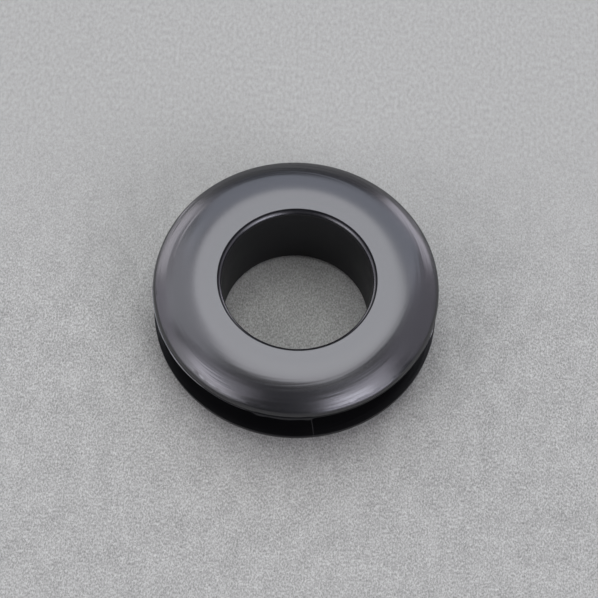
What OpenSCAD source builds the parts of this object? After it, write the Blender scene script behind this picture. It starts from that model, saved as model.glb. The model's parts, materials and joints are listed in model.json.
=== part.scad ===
// Rubber grommet: a one-piece moulded ring that lines a round hole in a panel,
// so that a cable or hose can pass through without chafing on the cut edge.
// The same half section turns right round the Z axis. It has two equal flanges,
// a groove between them that grips the panel, and a straight bore.
// Origin: centre of the lower face, with the bore along +Z.

/* [Bore] */
// Diameter of the bore that the cable passes through
bore_d = 13; // [9:0.5:14]
// Radius that rounds the bore's mouth at each face
mouth_r = 0.8; // [0.2:0.1:0.9]

/* [Flanges] */
// Outer diameter of the two flanges
flange_d = 25; // [23:0.5:30]
// Thickness of each flange, from its flat face to the groove
flange_t = 2.3; // [2:0.1:3.5]
// Diameter at which the flat ring round the bore ends and the shoulder starts
land_d = 16.8; // [16:0.1:20.5]
// Radius of the tight arc where the shoulder turns down into the rim
rim_r = 0.8; // [0.4:0.1:1.8]
// Height of the straight band at the rim, where the mould halves meet
rim_band_h = 0.25; // [0.1:0.05:0.5]

/* [Groove] */
// Width of the groove, the thickest panel that it takes
groove_w = 3.7; // [1.5:0.1:6]
// Diameter of the groove's floor, which fills the hole in the panel
groove_d = 18; // [16:0.5:20.5]
// Radius in the groove's two inner corners
groove_corner_r = 0.3; // [0.1:0.05:0.5]

/* [Hidden] */
$fn = 180;
rubber_black = [0.07, 0.07, 0.075];

bore_r = bore_d / 2;
flange_r = flange_d / 2;
land_r = land_d / 2;
groove_r = groove_d / 2;
height = 2 * flange_t + groove_w;
middle = height / 2;

// The shoulder falls from the flat ring to the rim band as two arcs that share a tangent
shoulder_w = flange_r - land_r;
shoulder_h = flange_t - rim_band_h;
// The rim's arc stays under this share of the shoulder's width and height, which it rounds
rim_arc_share = 0.9;
rim_arc_r = min(rim_r, rim_arc_share * shoulder_w, rim_arc_share * shoulder_h);
rim_arc_x = flange_r - rim_arc_r;
rim_arc_z = height - shoulder_h;
// The broad arc is level where it leaves the flat ring and tangent to the rim's arc
broad_arc_r = (pow(rim_arc_x - land_r, 2) + pow(shoulder_h, 2) - pow(rim_arc_r, 2))
    / (2 * (shoulder_h - rim_arc_r));
broad_arc_z = height - broad_arc_r;
tangent_a = atan2(rim_arc_z - broad_arc_z, rim_arc_x - land_r);

// Slice of a disc from angle from_a to angle to_a, with its point at the origin
module disc_slice(r, from_a, to_a) {
    reach = 2 * r;
    intersection() {
        circle(r);
        polygon([
            [0, 0],
            reach * [cos(from_a), sin(from_a)],
            reach * [cos((from_a + to_a) / 2), sin((from_a + to_a) / 2)],
            reach * [cos(to_a), sin(to_a)]
        ]);
    }
}

// Upright rectangle from x0 to x1 and z0 to z1, its two corners at x0 rounded to radius r
module inner_rounded_block(x0, x1, z0, z1, r) {
    translate([x0 + r, z0]) square([x1 - x0 - r, z1 - z0]);
    translate([x0, z0 + r]) square([r, z1 - z0 - 2 * r]);
    translate([x0 + r, z1 - r]) disc_slice(r, 90, 180);
    translate([x0 + r, z0 + r]) disc_slice(r, 180, 270);
}

// Upper half of the section outside the flat ring: shoulder, rim and rim band
module shoulder_section() {
    intersection() {
        translate([land_r, middle]) square([shoulder_w, middle]);
        union() {
            translate([land_r, middle]) square([shoulder_w, rim_arc_z - middle]);
            translate([land_r, broad_arc_z]) disc_slice(broad_arc_r, tangent_a, 90);
            translate([rim_arc_x, rim_arc_z]) disc_slice(rim_arc_r, 0, tangent_a);
        }
    }
}

// Half section of the whole ring, from the bore's wall out to the rims
module ring_section() {
    difference() {
        union() {
            inner_rounded_block(bore_r, land_r, 0, height, mouth_r);
            shoulder_section();
            translate([0, height]) mirror([0, 1]) shoulder_section();
        }
        inner_rounded_block(groove_r, flange_r + groove_w,
            flange_t, flange_t + groove_w, groove_corner_r);
    }
}

module grommet() {
    color(rubber_black)
        rotate_extrude() ring_section();
}

grommet();
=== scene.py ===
# A black rubber grommet lying on grey paper, seen from the front and above.
# Lengths are written in millimetres and multiplied by mm.
import json
import math
from functools import partial

import bpy
from mathutils import Matrix, Vector


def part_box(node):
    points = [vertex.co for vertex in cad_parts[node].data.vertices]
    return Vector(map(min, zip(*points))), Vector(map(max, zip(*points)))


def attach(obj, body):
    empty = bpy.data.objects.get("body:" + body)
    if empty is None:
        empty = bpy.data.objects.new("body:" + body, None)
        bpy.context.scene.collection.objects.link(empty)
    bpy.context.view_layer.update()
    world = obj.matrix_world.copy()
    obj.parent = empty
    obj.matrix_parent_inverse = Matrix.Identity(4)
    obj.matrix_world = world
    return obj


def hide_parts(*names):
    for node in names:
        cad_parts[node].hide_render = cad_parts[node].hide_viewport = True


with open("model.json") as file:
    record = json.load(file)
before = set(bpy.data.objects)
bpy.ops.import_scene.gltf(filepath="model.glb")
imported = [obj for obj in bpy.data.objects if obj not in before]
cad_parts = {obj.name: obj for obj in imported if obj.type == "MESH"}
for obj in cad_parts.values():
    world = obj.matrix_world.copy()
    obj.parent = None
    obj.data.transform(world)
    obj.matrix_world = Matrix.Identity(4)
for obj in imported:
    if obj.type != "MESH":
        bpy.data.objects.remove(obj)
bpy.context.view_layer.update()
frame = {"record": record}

# The grommet: one ring of black rubber, pressed in a mould of five parts. Two turned
# cavities dome its flanges, a core pin leaves the bore, and two half plates leave the
# groove. Rubber creeps between the plates and sets there as a thin flash and two seams.
mm = 0.001
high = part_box("grommet")[1]
flange_r = high.x
height = high.z
middle = height / 2
bore_r = frame["record"]["mounts"][0]["dims"]["r_mm"] * mm
groove_r = frame["record"]["mounts"][1]["dims"]["r_mm"] * mm
groove_w = frame["record"]["mounts"][1]["dims"]["length_mm"] * mm
mouth_r = 0.35 * mm
mouth_w = 0.35 * mm
mouth_lean = math.radians(35)
step_w = 0.05 * mm
step_h = 0.1 * mm
pin_draft = 0.1 * mm
land_r = 8.4 * mm
rim_r = 0.8 * mm
rim_band_h = 0.25 * mm
groove_corner_r = 0.3 * mm
flash_t = 0.04 * mm
flash_reach = 0.2 * mm
flash_root = 0.01 * mm
plate_line = 0.03 * mm
edge_fade = 0.02 * mm
edge_w = 0.05 * mm
seam_turn = math.radians(-80)
crease_angle = math.radians(25)

# The shoulder is two arcs that share a tangent: a broad one off the flat land and the rim's
groove_top = middle + groove_w / 2
band_top = groove_top + rim_band_h
shoulder_h = height - band_top
rim_x = flange_r - rim_r
broad_r = ((rim_x - land_r) ** 2 + shoulder_h**2 - rim_r**2) / (2 * (shoulder_h - rim_r))
rim_bend = math.atan2(band_top - height + broad_r, rim_x - land_r)
broad_bend = math.pi / 2 - rim_bend
broad_corner = land_r + broad_r * math.tan(broad_bend / 2)
rim_corner = band_top + rim_r * math.tan(rim_bend / 2)
flash_top = groove_top + flash_t

# The pin's collar leaves a small step and a crease in each of the bore's rounded mouths
pin_edge = bore_r + pin_draft + mouth_w
lip_corner = height - step_h - (mouth_w - step_w) * math.tan(mouth_lean)

# The pin and the plates aren't polished as the cavities are: 0 is polished and 1 is matt
pin_matt = 0.32
lip_matt = 0.05
step_foot_matt = 0.7
step_top_matt = 0.6
flash_foot_matt = 0.5
lower_matt = 0.38
lower_flash = 0.15

# Corners of the half section above its middle, from the bore's wall round to the groove's
# floor: distance from the axis, height, corner radius and steps in it, then how far each is
# flash, is shaped by the half plates, and is matt. Corners on a straight line part long faces.
upper_corners = [
    (bore_r, middle + 1.5 * mm, 0, 0, 0, 0, pin_matt),
    (bore_r, height - mouth_r - 0.15 * mm, 0, 0, 0, 0, pin_matt),
    (bore_r, lip_corner, mouth_r, 14, 0, 0, lip_matt),
    (pin_edge - step_w, height - step_h, 0, 0, 0, 0, step_foot_matt),
    (pin_edge, height, 0, 0, 0, 0, step_top_matt),
    (pin_edge + edge_w, height, 0, 0, 0, 0, 0),
    *[(land_r - inward * mm, height, 0, 0, 0, 0, 0) for inward in (0.9, 0.6, 0.3)],
    (broad_corner, height, broad_r, 20, 0, 0, 0),
    (flange_r, rim_corner, rim_r, 24, 0, 0, 0),
    (flange_r, band_top - edge_fade, 0, 0, 0, 0, 1),
    (flange_r, flash_top + plate_line, 0, 0, 0, 0.5, 1),
    (flange_r, flash_top + flash_root, 0, 0, 0.02, 1, 0),
    (flange_r, flash_top, 0, 0, 1, 1, 0),
    (flange_r, groove_top, 0, 0, 1, 1, flash_foot_matt),
    (flange_r - edge_w, groove_top, 0, 0, 0, 1, 1),
    *[(flange_r - inward * mm, groove_top, 0, 0, 0, 1, 1) for inward in (0.9, 1.8, 2.7)],
    (groove_r, groove_top, groove_corner_r, 8, 0, 1, 1),
    (groove_r, middle + 0.8 * mm, 0, 0, 0, 1, 1),
]
lower_corners = [
    (x, height - z, radius, steps, lower_flash * flash, plates, min(matt, lower_matt))
    for x, z, radius, steps, flash, plates, matt in reversed(upper_corners)
]
section_corners = upper_corners + [(groove_r, middle, 0, 0, 0, 1, 1)] + lower_corners
section_corners += [(bore_r, middle, 0, 0, 0, 0, pin_matt)]

section = bpy.data.meshes.new("grommet_section")
section.from_pydata(
    [
        (pin_draft * z / height if x == bore_r else x - bore_r, 0, z)
        for x, z, *rest in section_corners
    ],
    [(i, (i + 1) % len(section_corners)) for i in range(len(section_corners))],
    [],
)
for column, name in enumerate(("corner_radius", "corner_steps", "flash", "plates", "matt"), 2):
    kind = "INT" if name == "corner_steps" else "FLOAT"
    values = section.attributes.new(name, kind, "POINT")
    values.data.foreach_set("value", [corner[column] for corner in section_corners])
grommet = bpy.data.objects.new("rubber_grommet", section)
bpy.context.collection.objects.link(grommet)

ring = bpy.data.node_groups.new("Turn the section into a moulded ring", "GeometryNodeTree")
ring.interface.new_socket("Ring", in_out="OUTPUT", socket_type="NodeSocketGeometry")
ring.interface.new_socket("Section", in_out="INPUT", socket_type="NodeSocketGeometry")
ring_sizes = {
    "Steps round": ("Int", 448),
    "Bore radius": ("Float", bore_r),
    "Seam turn": ("Float", seam_turn),
    "Steps drawn to seams": ("Float", 0.45),
    "Torn flash from this share of a turn": ("Float", 0.925),
    "Seam half width": ("Float", 0.06 * mm),
    "Seam height": ("Float", 0.03 * mm),
    "Flash reach": ("Float", flash_reach),
    "Unevenness": ("Float", 0.012 * mm),
    "Core pin off centre": ("Vector", (0.065 * mm, -0.225 * mm, 0)),
    "Moved with the pin": ("Float", pin_edge + 0.15 * mm),
    "Land's edge": ("Float", land_r),
    "Seed": ("Float", 4.0),
    "Rubber": ("Material", None),
}
for name, (kind, value) in ring_sizes.items():
    ring.interface.new_socket(name, in_out="INPUT", socket_type="NodeSocket" + kind)


def add_step(tree, kind, label="", sockets=None, **settings):
    """A node of a tree: its settings, then each input's value or the output it takes."""
    node = tree.nodes.new(kind)
    node.label = label
    for setting, value in settings.items():
        setattr(node, setting, value)
    for key, value in (sockets or {}).items():
        if isinstance(value, bpy.types.NodeSocket):
            tree.links.new(value, node.inputs[key])
        else:
            node.inputs[key].default_value = value
    return node


ring_step = partial(add_step, ring)


def ring_sum(operation, *terms, label=""):
    """One step of arithmetic in the ring's tree."""
    sockets = {number: term for number, term in enumerate(terms)}
    return ring_step("ShaderNodeMath", label, sockets, operation=operation).outputs[0]


given = ring.nodes.new("NodeGroupInput").outputs
laid_flat = ring_step(
    "GeometryNodeTransform",
    "Lay the section flat, as a profile is read",
    {"Geometry": given["Section"], "Rotation": (math.pi / 2, 0, 0)},
)
outline = ring_step("GeometryNodeMeshToCurve", sockets={"Mesh": laid_flat.outputs[0]})
corner_radius = ring_step("GeometryNodeInputNamedAttribute", sockets={"Name": "corner_radius"})
corner_steps = ring_step(
    "GeometryNodeInputNamedAttribute", sockets={"Name": "corner_steps"}, data_type="INT"
)
rounded = ring_step(
    "GeometryNodeFilletCurve",
    "Round the section's corners",
    {
        "Curve": outline.outputs[0],
        "Radius": corner_radius.outputs[0],
        "Count": corner_steps.outputs[0],
    },
    mode="POLY",
)
bore_circle = ring_step(
    "GeometryNodeCurvePrimitiveCircle",
    "The bore carries the section round",
    {"Resolution": given["Steps round"], "Radius": given["Bore radius"]},
)
upright_circle = ring_step(
    "GeometryNodeSetCurveNormal", sockets={"Curve": bore_circle.outputs[0]}, mode="Z_UP"
)
turned = ring_step(
    "GeometryNodeCurveToMesh",
    sockets={"Curve": upright_circle.outputs[0], "Profile Curve": rounded.outputs[0]},
)

# Steps round the ring are drawn to the two seams, where a ridge a few hundredths wide needs them
place = ring_step("GeometryNodeInputPosition").outputs[0]
axes = ring_step("ShaderNodeSeparateXYZ", sockets={0: place})
turn = ring_sum("ARCTAN2", axes.outputs["Y"], axes.outputs["X"], label="Turn of this point")
from_seam = ring_sum("SUBTRACT", turn, given["Seam turn"])
twice = ring_sum("SINE", ring_sum("MULTIPLY", from_seam, 2.0))
draw = ring_sum("MULTIPLY", ring_sum("MULTIPLY", twice, given["Steps drawn to seams"]), -1.0)
drawn_place = ring_step(
    "ShaderNodeVectorRotate", sockets={"Vector": place, "Angle": draw}, rotation_type="Z_AXIS"
)
drawn = ring_step(
    "GeometryNodeSetPosition",
    "Draw the steps to the seams",
    {"Geometry": turned.outputs[0], "Position": drawn_place.outputs[0]},
)

# Flash round the parting edge: share of its full reach, by the share of a turn past the front
# seam. The right half plate shut tight, apart from one nick, and the left one let rubber by.
flash_shares = [
    (0.0, 0.0),
    (0.148, 0.0),
    (0.155, 0.3),
    (0.165, 0.16),
    (0.178, 0.42),
    (0.186, 0.0),
    (0.49, 0.0),
    (0.51, 0.12),
    (0.66, 0.2),
    (0.75, 0.4),
    (0.8, 0.5),
    (0.84, 0.42),
    (0.87, 0.16),
    (0.931, 0.1),
    (0.935, 0.72),
    (0.985, 0.85),
    (0.997, 0.98),
    (1.0, 0.0),
]
share_of_turn = ring_sum("FRACT", ring_sum("DIVIDE", from_seam, math.tau))
flash_by_turn = ring_step("ShaderNodeFloatCurve", "Flash by turn", {"Value": share_of_turn})
flash_line = flash_by_turn.mapping.curves[0]
while len(flash_line.points) < len(flash_shares):
    flash_line.points.new(0.5, 0.5)
for point, (share, reach) in zip(flash_line.points, flash_shares):
    point.location = (share, reach)
    point.handle_type = "VECTOR"
flash_by_turn.mapping.update()
ragged = ring_step(
    "ShaderNodeTexNoise",
    "Ragged edge",
    {"Vector": place, "W": given["Seed"], "Scale": 1.1 / mm, "Detail": 2.0},
    noise_dimensions="4D",
)
flash_corner = ring_step("GeometryNodeInputNamedAttribute", sockets={"Name": "flash"})
torn_from = given["Torn flash from this share of a turn"]
torn_front = ring_sum("GREATER_THAN", share_of_turn, torn_from)
torn_flash = ring_sum(
    "MULTIPLY", torn_front, ring_sum("GREATER_THAN", flash_corner.outputs[0], 0.01)
)
raggedness = ring_sum("MULTIPLY_ADD", ragged.outputs[0], 1.6, 0.2, label="Share of its reach")
flash_share = ring_sum("MULTIPLY", flash_by_turn.outputs[0], flash_corner.outputs[0])
flash_out = ring_sum(
    "MULTIPLY", ring_sum("MULTIPLY", flash_share, raggedness), given["Flash reach"]
)
flat_place = ring_step(
    "ShaderNodeVectorMath", sockets={0: place, 1: (1, 1, 0)}, operation="MULTIPLY"
)
outward = ring_step(
    "ShaderNodeVectorMath", sockets={0: flat_place.outputs[0]}, operation="NORMALIZE"
)
flash_move = ring_step(
    "ShaderNodeVectorMath", sockets={0: outward.outputs[0], "Scale": flash_out}, operation="SCALE"
)
flashed = ring_step(
    "GeometryNodeSetPosition",
    "Push the flash out",
    {"Geometry": drawn.outputs[0], "Offset": flash_move.outputs[0]},
)
scuffed = ring_step(
    "GeometryNodeStoreNamedAttribute",
    "Torn flash for the rubber's colour",
    {"Geometry": flashed.outputs[0], "Name": "torn_flash", "Value": torn_flash},
    data_type="FLOAT",
    domain="POINT",
)

# Seams stand where the half plates meet, in the plane through the axis at the seam's turn
across = ring_step(
    "ShaderNodeCombineXYZ",
    sockets={
        "X": ring_sum("SINE", given["Seam turn"]),
        "Y": ring_sum("MULTIPLY", ring_sum("COSINE", given["Seam turn"]), -1.0),
    },
)
off_plane = ring_step(
    "ShaderNodeVectorMath", sockets={0: place, 1: across.outputs[0]}, operation="DOT_PRODUCT"
)
seam_ridge = ring_step(
    "ShaderNodeMapRange",
    "Ridge across the seam",
    {
        "Value": ring_sum("ABSOLUTE", off_plane.outputs["Value"]),
        "From Max": given["Seam half width"],
        "To Min": given["Seam height"],
        "To Max": 0.0,
    },
    interpolation_type="SMOOTHSTEP",
)
plates = ring_step("GeometryNodeInputNamedAttribute", sockets={"Name": "plates"})
seam_out = ring_sum("MULTIPLY", seam_ridge.outputs[0], plates.outputs[0])
seam_share = ring_sum("DIVIDE", seam_out, given["Seam height"])
waves = ring_step(
    "ShaderNodeTexNoise",
    "Shrinkage of the rubber",
    {"Vector": place, "W": given["Seed"], "Scale": 0.11 / mm, "Detail": 1.0},
    noise_dimensions="4D",
)
wave_out = ring_sum("MULTIPLY", ring_sum("SUBTRACT", waves.outputs[0], 0.5), given["Unevenness"])
face_way = ring_step("GeometryNodeInputNormal").outputs[0]
seamed = ring_step(
    "GeometryNodeStoreNamedAttribute",
    "Seams for the rubber's colour",
    {"Geometry": scuffed.outputs[0], "Name": "seam_share", "Value": seam_share},
    data_type="FLOAT",
    domain="POINT",
)
surface_move = ring_step(
    "ShaderNodeVectorMath",
    sockets={0: face_way, "Scale": ring_sum("ADD", seam_out, wave_out)},
    operation="SCALE",
)
finished = ring_step(
    "GeometryNodeSetPosition",
    "Raise the seams and shrink the faces",
    {"Geometry": seamed.outputs[0], "Offset": surface_move.outputs[0]},
)

# The core pin stood a little off centre, so the bore does too, inside a true flat ring
off_axis = ring_step("ShaderNodeVectorMath", sockets={0: flat_place.outputs[0]}, operation="LENGTH")
with_pin = ring_step(
    "ShaderNodeMapRange",
    "Share of the pin's shift that a place takes",
    {
        "Value": off_axis.outputs["Value"],
        "From Min": given["Moved with the pin"],
        "From Max": given["Land's edge"],
        "To Min": 1.0,
        "To Max": 0.0,
    },
)
pin_move = ring_step(
    "ShaderNodeVectorMath",
    sockets={0: given["Core pin off centre"], "Scale": with_pin.outputs[0]},
    operation="SCALE",
)
eccentric = ring_step(
    "GeometryNodeSetPosition",
    "Shift the bore with its pin",
    {"Geometry": finished.outputs[0], "Offset": pin_move.outputs[0]},
)
realised = ring_step("GeometryNodeRealizeInstances", sockets={0: eccentric.outputs[0]})
in_rubber = ring_step(
    "GeometryNodeSetMaterial",
    sockets={"Geometry": realised.outputs[0], "Material": given["Rubber"]},
)
ring_end = ring.nodes.new("NodeGroupOutput")
ring.links.new(in_rubber.outputs[0], ring_end.inputs[0])

# Black rubber with a soft sheen: carbon black all through, a satin skin off the turned cavity
rubber = bpy.data.materials.new("moulded_black_rubber")
rubber.use_nodes = True
skin = rubber.node_tree.nodes["Principled BSDF"]
skin.inputs["IOR"].default_value = 1.3
skin.inputs["Specular IOR Level"].default_value = 0.3
skin.inputs["Coat IOR"].default_value = 1.85
skin.inputs["Coat Roughness"].default_value = 0.25
rubber_step = partial(add_step, rubber.node_tree)


def set_ramp(ramp, *stops):
    """Put a ramp's two stops at their places, in their colours."""
    for element, (position, colour) in zip(ramp.color_ramp.elements, stops):
        element.position = position
        element.color = (*colour, 1)


on_ring = rubber_step("ShaderNodeTexCoord").outputs["Object"]
cloud = rubber_step(
    "ShaderNodeTexNoise", "Cloudy bloom", {"Vector": on_ring, "Scale": 0.22 / mm, "Detail": 4.0}
)
black = rubber_step("ShaderNodeValToRGB", "Carbon black", {"Fac": cloud.outputs[0]})
set_ramp(black, (0.35, (0.0048, 0.0050, 0.0056)), (0.65, (0.0072, 0.0074, 0.0084)))
# Painted shade: the faces shaped by the half plates, in and round the groove between the flanges,
# are painted a deeper black for the shadow that falls there.
groove_shade_mask = rubber_step("ShaderNodeAttribute", attribute_name="plates")
painted_groove_shade = rubber_step(
    "ShaderNodeMix",
    "Deeper black where no bloom is rubbed in",
    {
        "Factor": groove_shade_mask.outputs["Fac"],
        "A": black.outputs[0],
        "B": (0.003, 0.003, 0.0032, 1),
    },
    data_type="RGBA",
)
torn = rubber_step("ShaderNodeAttribute", attribute_name="torn_flash")
seam_here = rubber_step("ShaderNodeAttribute", attribute_name="seam_share")
scarred = rubber_step(
    "ShaderNodeMath",
    "Torn flash or seam",
    {0: torn.outputs["Fac"], 1: seam_here.outputs["Fac"]},
    operation="MAXIMUM",
)
colour = rubber_step(
    "ShaderNodeMix",
    "Torn rubber is paler",
    {
        "Factor": scarred.outputs[0],
        "A": painted_groove_shade.outputs["Result"],
        "B": (0.02, 0.02, 0.0195, 1),
    },
    data_type="RGBA",
)
rubber.node_tree.links.new(colour.outputs["Result"], skin.inputs["Base Color"])

grain = rubber_step(
    "ShaderNodeTexNoise", "Fine grain", {"Vector": on_ring, "Scale": 9 / mm, "Detail": 3.0}
)

# The lathe that turned the cavity left fine rings on its shoulder, a little off the true circle
tool_lean = 0.06
ring_axes = rubber_step("ShaderNodeSeparateXYZ", sockets={0: on_ring})
ring_flat = rubber_step(
    "ShaderNodeVectorMath", sockets={0: on_ring, 1: (1, 1, 0)}, operation="MULTIPLY"
)
ring_out = rubber_step(
    "ShaderNodeVectorMath", sockets={0: ring_flat.outputs[0]}, operation="LENGTH"
)
tool_out = rubber_step(
    "ShaderNodeMath",
    "The tool's path leans a little",
    {0: ring_axes.outputs["X"], 1: tool_lean, 2: ring_out.outputs["Value"]},
    operation="MULTIPLY_ADD",
)
tool_side = rubber_step(
    "ShaderNodeMath", sockets={0: ring_axes.outputs["Y"], 1: tool_lean}, operation="MULTIPLY"
)
tool_path = rubber_step(
    "ShaderNodeCombineXYZ",
    sockets={"X": tool_out.outputs[0], "Y": tool_side.outputs[0], "Z": ring_axes.outputs["Z"]},
)
tool_marks = rubber_step(
    "ShaderNodeTexNoise",
    "Rings left by the lathe in the cavity",
    {"Vector": tool_path.outputs[0], "Scale": 2.0 / mm, "Detail": 2.0},
)
on_shoulder = rubber_step(
    "ShaderNodeMapRange",
    "Only the shoulder keeps them",
    {"Value": ring_out.outputs["Value"], "From Min": 9.4 * mm, "From Max": 10.6 * mm},
)
satin = rubber_step(
    "ShaderNodeMapRange",
    "Satin skin",
    {"Value": cloud.outputs[0], "From Min": 0.3, "From Max": 0.7, "To Min": 0.42, "To Max": 0.52},
)
matt_corner = rubber_step("ShaderNodeAttribute", attribute_name="matt")
matt_here = rubber_step(
    "ShaderNodeMath",
    "Matt corners and torn flash",
    {0: matt_corner.outputs["Fac"], 1: torn.outputs["Fac"]},
    operation="MAXIMUM",
)
rougher = rubber_step(
    "ShaderNodeMapRange",
    "Rougher where the plates formed it",
    {"Value": matt_here.outputs[0], "From Min": 0.5, "To Max": 0.3},
)
roughness = rubber_step(
    "ShaderNodeMath", sockets={0: rougher.outputs[0], 1: satin.outputs[0]}, operation="ADD"
)
rubber.node_tree.links.new(roughness.outputs[0], skin.inputs["Roughness"])
polish = rubber_step(
    "ShaderNodeMapRange",
    "Polish of the cavity",
    {"Value": matt_here.outputs[0], "From Max": 0.5, "To Min": 1.0, "To Max": 0.0},
)
rubber.node_tree.links.new(polish.outputs[0], skin.inputs["Coat Weight"])
grain_bump = rubber_step(
    "ShaderNodeBump",
    "Fine grain",
    {"Height": grain.outputs[0], "Strength": 0.25, "Distance": 0.006 * mm},
)
mark_bump = rubber_step(
    "ShaderNodeBump",
    "Lathe rings",
    {
        "Height": tool_marks.outputs[0],
        "Strength": on_shoulder.outputs[0],
        "Distance": 0.045 * mm,
        "Normal": grain_bump.outputs[0],
    },
)
rubber.node_tree.links.new(mark_bump.outputs[0], skin.inputs["Normal"])
rubber.node_tree.links.new(mark_bump.outputs[0], skin.inputs["Coat Normal"])

turning = grommet.modifiers.new("Turn the ring", "NODES")
turning.node_group = ring
for item in ring.interface.items_tree:
    if item.in_out == "INPUT" and item.name in ring_sizes:
        value = ring_sizes[item.name][1]
        turning[item.identifier] = rubber if item.name == "Rubber" else value
shown = bpy.context.evaluated_depsgraph_get()
moulded = bpy.data.meshes.new_from_object(grommet.evaluated_get(shown), depsgraph=shown)
grommet.modifiers.clear()
grommet.data = moulded
moulded.name = "rubber_grommet"
moulded.set_sharp_from_angle(angle=crease_angle)
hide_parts("grommet")
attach(grommet, "root")

# The floor: a sheet of pale grey paper, felted from loose pulp under a press. It keeps the
# fine mottle and the odd fibre of the pulp, and is smoother towards its back, where it is also
# painted paler as painted light that falls off to the front.
paper_half = 1.5
paper_drop = 0.01 * mm
paper_corners = [(-1, -1), (1, -1), (1, 1), (-1, 1)]
paper_mesh = bpy.data.meshes.new("paper_floor")
paper_mesh.from_pydata(
    [(x * paper_half, y * paper_half, -paper_drop) for x, y in paper_corners], [], [(0, 1, 2, 3)]
)
paper_floor = bpy.data.objects.new("paper_floor", paper_mesh)
bpy.context.collection.objects.link(paper_floor)
paper = bpy.data.materials.new("pale_grey_paper")
paper.use_nodes = True
pulp = paper.node_tree.nodes["Principled BSDF"]
pulp.inputs["Roughness"].default_value = 0.9
pulp.inputs["Specular IOR Level"].default_value = 0.2
paper_step = partial(add_step, paper.node_tree)

on_paper = paper_step("ShaderNodeTexCoord").outputs["Object"]
paper_axes = paper_step("ShaderNodeSeparateXYZ", sockets={0: on_paper})
stretched = paper_step(
    "ShaderNodeMapping", "Pulp runs away from the camera", {"Vector": on_paper, "Scale": (1, 0.6, 1)}
)
mottle = paper_step(
    "ShaderNodeTexNoise",
    "Mottle of the pulp",
    {"Vector": stretched.outputs[0], "Scale": 7.5 / mm, "Detail": 1.5, "Roughness": 0.6},
)
tone = mottle.outputs[0]
fibre_l = 0.7 * mm
fibre_w = 0.12 * mm
for fibre_turn, fibre_way in ((0.3, "along"), (1.25, "across"), (2.4, "aslant")):
    laid = paper_step(
        "ShaderNodeMapping",
        "Fibres " + fibre_way,
        {"Vector": on_paper, "Rotation": (0, 0, fibre_turn), "Scale": (fibre_l, fibre_w, 1)},
        vector_type="TEXTURE",
    )
    strand = paper_step(
        "ShaderNodeTexNoise", sockets={"Vector": laid.outputs[0], "Scale": 1.0, "Detail": 1.0}
    )
    raised = paper_step(
        "ShaderNodeMapRange",
        sockets={"Value": strand.outputs[0], "From Min": 0.56, "From Max": 0.8, "To Max": 0.2},
    )
    tone = paper_step(
        "ShaderNodeMath", sockets={0: tone, 1: raised.outputs[0]}, operation="ADD"
    ).outputs[0]
clouds = paper_step(
    "ShaderNodeTexNoise",
    "Uneven pressing",
    {"Vector": stretched.outputs[0], "Scale": 0.6 / mm, "Detail": 2.0},
)
tone = paper_step(
    "ShaderNodeMath", sockets={0: clouds.outputs[0], 1: 0.22, 2: tone}, operation="MULTIPLY_ADD"
).outputs[0]
paper_grey = paper_step("ShaderNodeValToRGB", "Grey of the paper", {"Fac": tone})
set_ramp(paper_grey, (0.31, (0.16, 0.16, 0.1455)), (0.96, (0.50, 0.50, 0.455)))
# Painted light: the grey is painted paler towards the back, in place of light that falls off towards
# the front, and its mottle is softer there too.
softer_and_lit_to_back = paper_step(
    "ShaderNodeMapRange",
    "Smoother and paler to the back",
    {"Value": paper_axes.outputs["Y"], "From Min": 0.0, "From Max": 22 * mm, "To Max": 0.9},
)
soft_mottle = paper_step(
    "ShaderNodeTexNoise",
    "Softer mottle to the back",
    {"Vector": stretched.outputs[0], "Scale": 3.6 / mm, "Detail": 1.0},
)
soft_lit_grey = paper_step("ShaderNodeValToRGB", "Softer greys", {"Fac": soft_mottle.outputs[0]})
set_ramp(soft_lit_grey, (0.2, (0.297, 0.297, 0.271)), (0.8, (0.405, 0.405, 0.369)))
pulp_grey_and_back_light = paper_step(
    "ShaderNodeMix",
    sockets={
        "Factor": softer_and_lit_to_back.outputs[0],
        "A": paper_grey.outputs[0],
        "B": soft_lit_grey.outputs[0],
    },
    data_type="RGBA",
)
# The ring mirrors the paper at a lower tone than the pale backdrop that the camera sees
paper_path = paper_step("ShaderNodeLightPath")
seen_tone = paper_step(
    "ShaderNodeMapRange",
    "Full tone for the camera",
    {"Value": paper_path.outputs["Is Camera Ray"], "To Min": 0.6, "To Max": 1.0},
)
paper_tone = paper_step(
    "ShaderNodeVectorMath",
    sockets={0: pulp_grey_and_back_light.outputs["Result"], "Scale": seen_tone.outputs[0]},
    operation="SCALE",
)
paper.node_tree.links.new(paper_tone.outputs[0], pulp.inputs["Base Color"])
paper_mesh.materials.append(paper)

# The lamps: soft boxes round the table, each as a turn from +X, an angle down from overhead,
# its width and height as angles seen from the grommet, and its brightness and tint.
lamp_distance = 0.6
lamps = {
    "overhead_softbox": (72, 13, 38, 43, 3.4, (0.93, 0.94, 1.0)),
    "back_left_diffuser": (151, 41, 41, 43, 1.53, (0.89, 0.9, 1.0)),
    "back_left_lamp": (136, 80, 31, 24, 2.69, (0.94, 0.91, 1.0)),
    "back_right_lamp": (52, 84, 27, 17, 3.2, (0.92, 0.88, 1.0)),
    "back_fill": (82, 53, 67, 36, 1.4, (0.785, 0.84, 1.0)),
    "left_fill": (171, 78, 35, 36, 1.1, (0.9, 0.86, 1.0)),
    "front_left_lamp": (216, 46, 34, 28, 1.23, (0.885, 0.86, 1.0)),
    "front_left_low_lamp": (212, 69, 44, 41, 1.46, (0.93, 0.91, 1.0)),
    "front_left_key": (214, 57, 20, 16, 2.5, (0.91, 0.89, 1.0)),
    "front_right_lamp": (321, 53, 32, 37, 2.35, (0.88, 0.87, 1.0)),
    "front_right_low_lamp": (312, 84, 44, 19, 3.08, (0.86, 0.84, 1.0)),
    "front_right_key": (308, 58.5, 25, 17, 4.0, (0.88, 0.87, 1.0)),
    "right_fill": (15, 61, 48, 55, 0.61, (0.88, 0.84, 1.0)),
}
aim = Vector((0, 0, middle))
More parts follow.
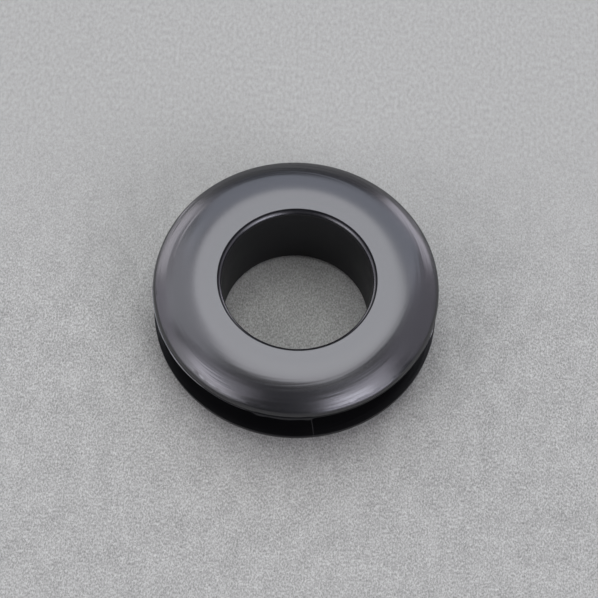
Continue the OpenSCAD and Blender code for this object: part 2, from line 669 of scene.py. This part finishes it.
for name, (turn, down, across_lamp, along_lamp, brightness, tint) in lamps.items():
    lamp = bpy.data.lights.new(name, "AREA")
    lamp.shape = "RECTANGLE"
    lamp.size = 2 * lamp_distance * math.tan(math.radians(across_lamp / 2))
    lamp.size_y = 2 * lamp_distance * math.tan(math.radians(along_lamp / 2))
    lamp.energy = brightness * math.pi * lamp.size * lamp.size_y
    lamp.color = tint
    turn, down = math.radians(turn), math.radians(down)
    level_way = Vector((math.cos(turn), math.sin(turn), 0))
    to_lamp = math.sin(down) * level_way + math.cos(down) * Vector((0, 0, 1))
    lamp_stand = bpy.data.objects.new(name, lamp)
    lamp_stand.location = aim + lamp_distance * to_lamp
    lamp_stand.rotation_euler = to_lamp.to_track_quat("Z", "Y").to_euler()
    lamp_stand.visible_camera = False
    bpy.context.collection.objects.link(lamp_stand)

# The room round the lamps: dim on the rubber, and as pale as the paper where the camera sees it
room = bpy.data.worlds.new("dim_room")
room.use_nodes = True
bpy.context.scene.world = room
dim = room.node_tree.nodes["Background"]
dim.inputs["Color"].default_value = (0.03, 0.03, 0.03, 1)
pale = room.node_tree.nodes.new("ShaderNodeBackground")
pale.inputs["Color"].default_value = (0.62, 0.62, 0.62, 1)
light_path = room.node_tree.nodes.new("ShaderNodeLightPath")
seen_or_lit = room.node_tree.nodes.new("ShaderNodeMixShader")
room.node_tree.links.new(light_path.outputs["Is Camera Ray"], seen_or_lit.inputs[0])
room.node_tree.links.new(dim.outputs[0], seen_or_lit.inputs[1])
room.node_tree.links.new(pale.outputs[0], seen_or_lit.inputs[2])
room.node_tree.links.new(seen_or_lit.outputs[0], room.node_tree.nodes["World Output"].inputs[0])

# The camera: a long lens about 63 degrees above the paper, rolled by nearly 3 degrees, with
# the ring near the middle of its square picture.
tilt = math.radians(62.71)
roll = math.radians(2.90)
distance = 18 * flange_r
target = Vector((0.0241, 0.1667, 0)) * flange_r
towards_camera = Vector((0, -math.cos(tilt), math.sin(tilt)))
level_up = Vector((0, math.sin(tilt), math.cos(tilt)))
level_right = Vector((1, 0, 0))
right = math.cos(roll) * level_right + math.sin(roll) * level_up
up = math.cos(roll) * level_up - math.sin(roll) * level_right
camera = bpy.data.objects.new("camera", bpy.data.cameras.new("camera"))
camera.data.lens = 150.35
camera.data.clip_start = 0.01
camera.matrix_world = Matrix.Translation(target + distance * towards_camera) @ (
    Matrix((right, up, towards_camera)).transposed().to_4x4()
)
bpy.context.collection.objects.link(camera)
bpy.context.scene.camera = camera
bpy.context.scene.view_settings.view_transform = "Standard"
